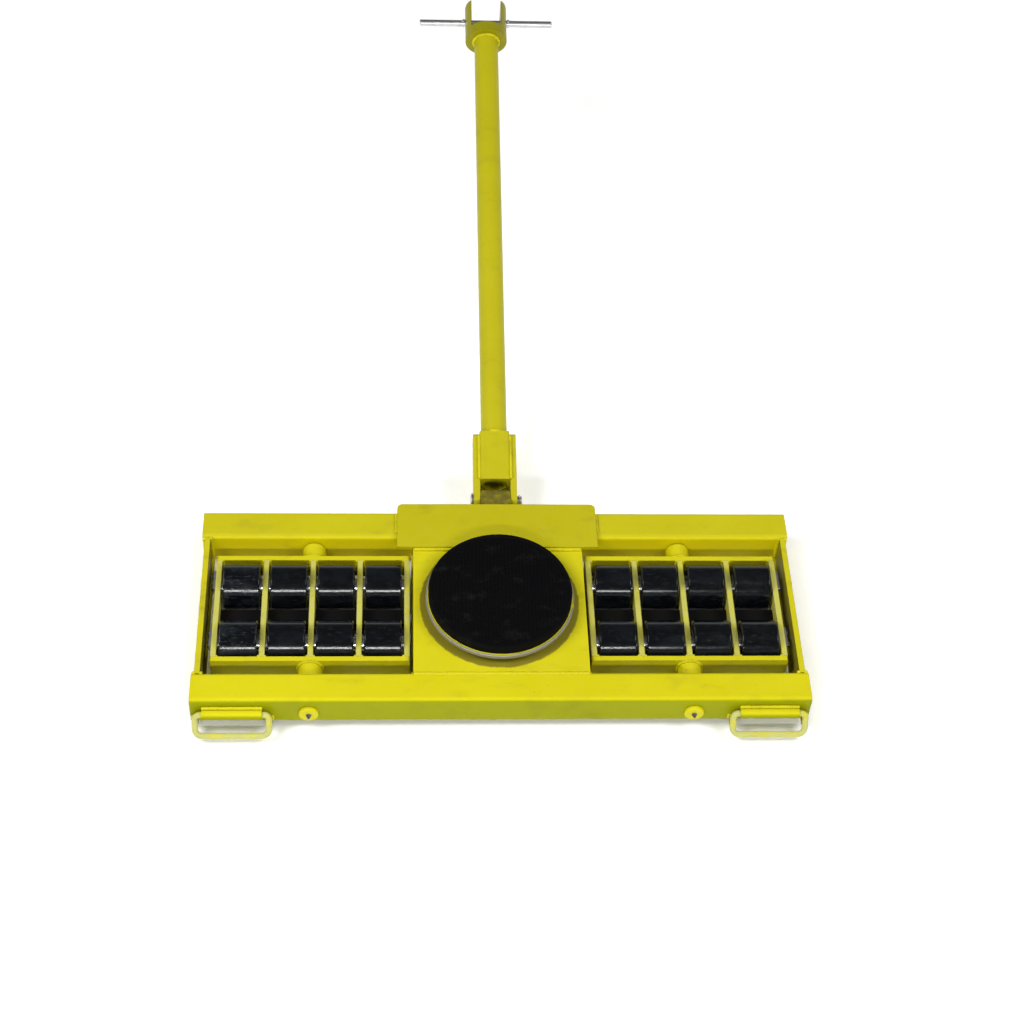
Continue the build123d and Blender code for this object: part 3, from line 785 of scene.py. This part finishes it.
def bogie_welds(side_name):
    """Fillets where the bogie's plates meet its ends, and rings round its bosses."""
    thickness, plate_count = 10 * MM, 5
    stand_off, foot, head = 1 * MM, 3 * MM, 0.5 * MM
    boss_reach, boss_z, boss_ring = 30 * MM, 44 * MM, 22 * MM
    low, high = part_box(f"{side_name}_bogie_plates")
    end_low, end_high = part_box(f"{side_name}_bogie_ends")
    centre_x = (low.x + high.x) / 2
    pitch = (high.x - low.x - thickness) / (plate_count - 1)
    paths = []
    for number in range(plate_count):
        plate_x = low.x + thickness / 2 + number * pitch
        for side in (-1, 1):
            x = plate_x + side * (thickness / 2 + stand_off)
            if not low.x < x < high.x:
                continue
            for y in (low.y + stand_off, high.y - stand_off):
                paths.append(upright(x, y, low.z + foot, high.z - head, BEAD_SMALL))
    for y in (end_low.y + boss_reach - SEAM, end_high.y - boss_reach + SEAM):
        paths.append(ring((centre_x, y, boss_z), (0, 1, 0), boss_ring, BEAD_THIN))
    return paths


hinge = middle("hinge_pin")
hinge.x = 0
grip = middle("t_bar")
bar_along = (grip - hinge).normalized()
bar_up = Vector((1, 0, 0)).cross(bar_along)
bar_length = (grip - hinge).length


def on_bar(x, along, up):
    """A point given across, along and above the drawbar's centre line from its hinge."""
    return hinge + Vector((x, 0, 0)) + bar_along * along + bar_up * up


def drawbar_welds():
    """Cheeks to socket, socket to tube and tube to fork."""
    cheek_x, cheek_up = 29.7 * MM, 22.2 * MM
    socket_start, socket_end, run_out = 40 * MM, 136 * MM, 10 * MM
    fork_foot, tube_seam = 48 * MM, 26.2 * MM
    paths = [
        straight(on_bar(x, socket_start, up), on_bar(x, socket_end - run_out, up), BEAD_PLATE)
        for x in (-cheek_x, cheek_x)
        for up in (-cheek_up, cheek_up)
    ]
    for along in (socket_end + SEAM, bar_length - fork_foot - SEAM):
        paths.append(ring(on_bar(0, along, 0), bar_along, tube_seam, BEAD_PLATE))
    return paths


weld = weld_recipe()
for name, body, paths in (
    ("frame_welds", "frame", frame_welds()),
    ("left_bogie_welds", "left_bogie", bogie_welds("left")),
    ("right_bogie_welds", "right_bogie", bogie_welds("right")),
    ("drawbar_welds", "drawbar", drawbar_welds()),
):
    new_piece(name, weld.make(path_mesh(paths), enamel_weld), body)


# ---- turntable pad -------------------------------------------------------------
def turned_mesh(name, profile, finish, steps=128):
    """A closed shape turned round the upright axis; profile points are (radius, height)."""
    shape = bmesh.new()
    turns = [2 * math.pi * i / steps for i in range(steps)]
    rows = []
    for radius, height in profile:
        around = turns if radius else [0.0]
        rows.append(
            [shape.verts.new((radius * math.cos(a), radius * math.sin(a), height)) for a in around]
        )
    for under, over in zip(rows, rows[1:]):
        for i in range(steps):
            j = i + 1
            corners = [under[i % len(under)], under[j % len(under)]]
            corners += [over[j % len(over)], over[i % len(over)]]
            face = shape.faces.new(list(dict.fromkeys(corners)))
            face.smooth = True
    bmesh.ops.recalc_face_normals(shape, faces=shape.faces[:])
    mesh = bpy.data.meshes.new(name)
    shape.to_mesh(mesh)
    shape.free()
    mesh.set_sharp_from_angle(angle=math.radians(30))
    mesh.materials.append(finish)
    return mesh


def stud_recipe():
    """Low round studs in offset rows over a disc, added to the disc."""
    recipe = Recipe(
        "pad_studs",
        Rows=37,
        Pitch=7.5 * MM,
        Field_radius=117 * MM,
        Field_height=116.6 * MM,
        Stud_height=1.4 * MM,
        Stud_base=2.8 * MM,
        Stud_top=2.1 * MM,
    )
    rows, pitch = recipe.size("Rows"), recipe.size("Pitch")
    # Every stud is one pitch from its six neighbours.
    row_pitch = pitch * math.sqrt(0.75)
    grid = recipe.node(
        "GeometryNodeMeshGrid",
        {
            "Size X": row_pitch * (rows - 1),
            "Size Y": pitch * (rows - 1),
            "Vertices X": rows,
            "Vertices Y": rows,
        },
    )
    index = recipe.node("GeometryNodeInputIndex")
    row = recipe.number("FLOOR", recipe.number("DIVIDE", index, rows))
    odd = recipe.number("MODULO", row, 2.0)
    shift = recipe.node(
        "ShaderNodeCombineXYZ", {0: 0.0, 1: odd * pitch * 0.5, 2: recipe.size("Field_height")}
    )
    moved = recipe.node("GeometryNodeSetPosition", {"Geometry": grid, "Offset": shift})
    from_centre = recipe.flat_length(recipe.node("GeometryNodeInputPosition"))
    inside = recipe.node(
        "FunctionNodeCompare",
        {0: from_centre, 1: recipe.size("Field_radius")},
        data_type="FLOAT",
        operation="LESS_THAN",
    )
    stud = recipe.node(
        "GeometryNodeMeshCone",
        {
            "Vertices": 12,
            "Radius Top": recipe.size("Stud_top"),
            "Radius Bottom": recipe.size("Stud_base"),
            "Depth": recipe.size("Stud_height"),
        },
    )
    studs = recipe.node(
        "GeometryNodeInstanceOnPoints", {"Points": moved, "Selection": inside, "Instance": stud}
    )
    return recipe.close(recipe.join(recipe.size("Geometry"), studs))


pad_low, pad_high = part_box("rubber_pad")
pad_radius, pad_top = pad_high.x, pad_high.z
PAD_FOOT = 1.5 * MM
PAD_SHOULDER = 2.4 * MM
PAD_ROUND = 0.7 * MM
RIM_WIDTH = 6.0 * MM
FIELD_START = 7.2 * MM
FIELD_DEPTH = 1.4 * MM
pad_profile = [
    (0, pad_low.z),
    (pad_radius - PAD_FOOT, pad_low.z),
    (pad_radius, pad_low.z + PAD_FOOT),
    (pad_radius, pad_top - PAD_SHOULDER),
    (pad_radius - PAD_ROUND, pad_top - PAD_ROUND),
    (pad_radius - PAD_SHOULDER, pad_top),
    (pad_radius - RIM_WIDTH, pad_top),
    (pad_radius - FIELD_START, pad_top - FIELD_DEPTH),
    (0, pad_top - FIELD_DEPTH),
]
pad_disc = turned_mesh("pad_disc", pad_profile, rubber)
pad_mesh = stud_recipe().make(pad_disc, rubber, Field_height=pad_top - FIELD_DEPTH)
new_piece("moulded_pad", pad_mesh, "turntable", ["rubber_pad"])


# ---- bolts and grease nipples --------------------------------------------------
def fitting_recipe():
    """Turned fittings on points: washer, hexagon, neck and rounded tip, along each facing."""
    recipe = Recipe(
        "fitting",
        Washer_radius=5.5 * MM,
        Washer_height=0.8 * MM,
        Hexagon_radius=5.6 * MM,
        Hexagon_height=2.4 * MM,
        Neck_radius=2.6 * MM,
        Neck_height=2.5 * MM,
        Tip_radius=2.0 * MM,
    )
    washer_height = recipe.size("Washer_height")
    hexagon_height = recipe.size("Hexagon_height")
    neck_radius, neck_height = recipe.size("Neck_radius"), recipe.size("Neck_height")

    def raised(geometry, height):
        lift = recipe.node("ShaderNodeCombineXYZ", {0: 0.0, 1: 0.0, 2: height})
        return recipe.node("GeometryNodeTransform", {0: geometry, "Translation": lift})

    washer = recipe.node(
        "GeometryNodeMeshCylinder",
        {"Vertices": 24, "Radius": recipe.size("Washer_radius"), "Depth": washer_height},
    )
    hexagon = recipe.node(
        "GeometryNodeMeshCylinder",
        {"Vertices": 6, "Radius": recipe.size("Hexagon_radius"), "Depth": hexagon_height},
    )
    neck = recipe.node(
        "GeometryNodeMeshCone",
        {
            "Vertices": 16,
            "Radius Top": neck_radius * 0.7,
            "Radius Bottom": neck_radius,
            "Depth": neck_height,
        },
    )
    tip = recipe.node(
        "GeometryNodeMeshUVSphere",
        {"Segments": 14, "Rings": 8, "Radius": recipe.size("Tip_radius")},
    )
    fitting = recipe.join(
        raised(washer, washer_height * 0.5),
        raised(hexagon, washer_height + hexagon_height * 0.5),
        raised(neck, washer_height + hexagon_height),
        raised(tip, washer_height + hexagon_height + neck_height),
    )
    facing = recipe.node(
        "GeometryNodeInputNamedAttribute", {"Name": "facing"}, data_type="FLOAT_VECTOR"
    )
    turn = recipe.node("FunctionNodeAlignRotationToVector", {"Vector": facing}, axis="Z")
    fittings = recipe.node(
        "GeometryNodeInstanceOnPoints",
        {"Points": recipe.size("Geometry"), "Instance": fitting, "Rotation": turn},
    )
    return recipe.close(fittings)


def facing_points(places):
    """Single points, each with the direction that its fitting faces."""
    mesh = bpy.data.meshes.new("places")
    mesh.from_pydata([tuple(point) for point, _ in places], [], [])
    mesh.attributes.new("facing", "FLOAT_VECTOR", "POINT").data.foreach_set(
        "vector", [value for _, facing in places for value in facing]
    )
    return mesh


fitting = fitting_recipe()
pin_low, pin_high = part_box("pivot_pins")
PIN_HEAD_RADIUS = 17 * MM
pin_x, pin_z = pin_high.x - PIN_HEAD_RADIUS, (pin_low.z + pin_high.z) / 2
nipple_places = [
    (Vector((side * pin_x, y, pin_z)), (0.0, facing, 0.0))
    for side in (-1, 1)
    for y, facing in ((pin_low.y, -1.0), (pin_high.y, 1.0))
]
nipples = fitting.make(
    facing_points(nipple_places),
    dark_steel,
    Washer_radius=5.0 * MM,
    Washer_height=0.6 * MM,
    Hexagon_radius=4.2 * MM,
    Hexagon_height=2.6 * MM,
)
new_piece("grease_nipples", nipples, "frame")

SCREW_HEAD = 3 * MM
SCREW_OFFSET = 12 * MM
row_y = middle("left_rear_roller_1").y
for side_name, side in (("left", -1.0), ("right", 1.0)):
    low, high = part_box(f"{side_name}_axle_keepers")
    keeper_face = low.x + SCREW_HEAD if side < 0 else high.x - SCREW_HEAD
    bolt_places = [
        (Vector((keeper_face, row + offset, (low.z + high.z) / 2)), (side, 0.0, 0.0))
        for row in (-row_y, row_y)
        for offset in (-SCREW_OFFSET, SCREW_OFFSET)
    ]
    bolts = fitting.make(
        facing_points(bolt_places),
        dark_steel,
        Washer_radius=6.4 * MM,
        Hexagon_radius=5.8 * MM,
        Neck_radius=4.6 * MM,
        Neck_height=0.5 * MM,
        Tip_radius=1.0 * MM,
    )
    new_piece(f"{side_name}_keeper_bolts", bolts, f"{side_name}_bogie")


# ---- split pin -----------------------------------------------------------------
def bent_wire(name, points, radius, finish):
    """A round wire along a smooth line, closed at both ends."""
    line = bpy.data.curves.new(name, "CURVE")
    line.dimensions = "3D"
    spline = line.splines.new("NURBS")
    spline.points.add(len(points) - 1)
    for place, point in zip(spline.points, points):
        place.co = (*point, 1.0)
    spline.order_u = 3
    spline.use_endpoint_u = True
    spline.resolution_u = 8
    line.bevel_depth = radius
    line.bevel_resolution = 4
    line.use_fill_caps = True
    source = bpy.data.objects.new(name, line)
    bpy.context.scene.collection.objects.link(source)
    evaluated = source.evaluated_get(bpy.context.evaluated_depsgraph_get())
    mesh = bpy.data.meshes.new_from_object(evaluated)
    bpy.data.objects.remove(source)
    for face in mesh.polygons:
        face.use_smooth = True
    mesh.materials.clear()
    mesh.materials.append(finish)
    return mesh


pin_centre = middle("split_pin")
WIRE_RADIUS = 0.95 * MM
# From one bent end up its leg, round the eye and down the other leg, in millimetres.
split_line = [
    pin_centre + Vector((0, y * MM, z * MM))
    for y, z in (
        (4.4, -16.0),
        (2.6, -14.0),
        (1.0, -12.2),
        (1.0, -4.0),
        (1.0, 8.0),
        (1.1, 10.6),
        (3.2, 12.6),
        (2.6, 15.6),
        (0.0, 16.0),
        (-2.6, 15.6),
        (-3.2, 12.6),
        (-1.1, 10.6),
        (-1.0, 8.0),
        (-1.0, -4.0),
        (-1.0, -12.2),
        (-2.2, -13.6),
        (-3.4, -15.0),
    )
]
split_mesh = bent_wire("split_pin_wire", split_line, WIRE_RADIUS, bright_steel)
new_piece("split_pin_wire", split_mesh, "drawbar", ["split_pin"])


# ---- floor, light and camera ---------------------------------------------------
def pale_floor():
    """Matt studio floor to the horizon, glowing a little except under the object."""
    half, margin, tuck = 60.0, 0.10, 0.04
    far_start, far_end = 1.5, 6.0
    finish = Finish("studio_floor", Specular_IOR_Level=0.0, Emission_Strength=1.0)
    away = [finish.number("ABSOLUTE", finish.axis(finish.place, letter)) for letter in "XY"]
    clear = finish.larger(
        finish.step(away[0], cad_high.x - tuck, cad_high.x + margin),
        finish.step(away[1], -front_high.y, -front_low.y + margin),
    )
    glow = finish.mix(clear, grey(0.0), grey(0.32))
    far = finish.step(finish.distance_from_axis(), far_start, far_end)
    glow = finish.mix(far, glow, grey(0.78))
    finish.feed(finish.shader.inputs["Emission Color"], glow)
    color = finish.mix(finish.noise(1.1), grey(0.90), grey(0.94))
    finish.feed(finish.shader.inputs["Base Color"], color)
    finish.feed(finish.shader.inputs["Roughness"], 0.75)
    mesh = bpy.data.meshes.new("studio_floor")
    corners = [(-half, -half, 0), (half, -half, 0), (half, half, 0), (-half, half, 0)]
    mesh.from_pydata(corners, [], [(0, 1, 2, 3)])
    mesh.materials.append(finish.material)
    floor = bpy.data.objects.new("studio_floor", mesh)
    bpy.context.scene.collection.objects.link(floor)


def soft_lamp(name, place, target, size, watts):
    """A soft box of a width and a height, aimed at a point."""
    lamp = bpy.data.lights.new(name, "AREA")
    lamp.shape = "RECTANGLE"
    lamp.size, lamp.size_y = size
    lamp.energy = watts
    box = bpy.data.objects.new(name, lamp)
    box.location = place
    box.rotation_euler = (Vector(target) - Vector(place)).to_track_quat("-Z", "Y").to_euler()
    bpy.context.scene.collection.objects.link(box)


def studio_air(horizon, overhead, glow_band):
    """World light: bright at the horizon and dim overhead, fading over a band of heights."""
    world = bpy.data.worlds.new("studio_air")
    world.use_nodes = True
    bpy.context.scene.world = world
    air = Graph(world.node_tree)
    height = air.axis(air.node("ShaderNodeTexCoord", output="Generated"), "Z")
    color = air.mix(air.step(height, *glow_band), grey(horizon), grey(overhead))
    air.feed(world.node_tree.nodes["Background"].inputs["Color"], color)


CAMERA_PITCH = 50.0
CAMERA_YAW = 4.9
CAMERA_ROLL = 3.9
CAMERA_DISTANCE = 3.6982
CAMERA_RIGHT = 0.0258
CAMERA_UP = 0.2139
CAMERA_LENS = 71.24


def place_camera():
    """High in front of the frame, looking down along the drawbar."""
    pitch, yaw, roll = (math.radians(a) for a in (CAMERA_PITCH, CAMERA_YAW, CAMERA_ROLL))
    ahead = Vector(
        (math.sin(yaw) * math.cos(pitch), math.cos(yaw) * math.cos(pitch), -math.sin(pitch))
    )
    level = ahead.cross(Vector((0, 0, 1))).normalized()
    over = level.cross(ahead)
    right = level * math.cos(roll) + over * math.sin(roll)
    up = over * math.cos(roll) - level * math.sin(roll)
    place = right * CAMERA_RIGHT + up * CAMERA_UP - ahead * CAMERA_DISTANCE
    lens = bpy.data.cameras.new("camera")
    lens.lens = CAMERA_LENS
    lens.sensor_width = 36.0
    lens.clip_end = 200.0
    camera = bpy.data.objects.new("camera", lens)
    turn = Matrix((right, up, -ahead)).transposed().to_4x4()
    camera.matrix_world = Matrix.Translation(place) @ turn
    bpy.context.scene.collection.objects.link(camera)
    bpy.context.scene.camera = camera


pale_floor()
soft_lamp("left_box", (-2.3, -0.5, 3.1), (0, 0, 0.1), (1.6, 1.6), 102)
soft_lamp("right_box", (2.3, -0.5, 3.1), (0, 0, 0.1), (1.6, 1.6), 80)
soft_lamp("low_front", (-0.2, -3.0, 2.05), (0, 0, 0.06), (1.8, 0.18), 54)
studio_air(horizon=0.90, overhead=0.11, glow_band=(0.10, 0.40))
place_camera()
bpy.context.scene.view_settings.view_transform = "Standard"
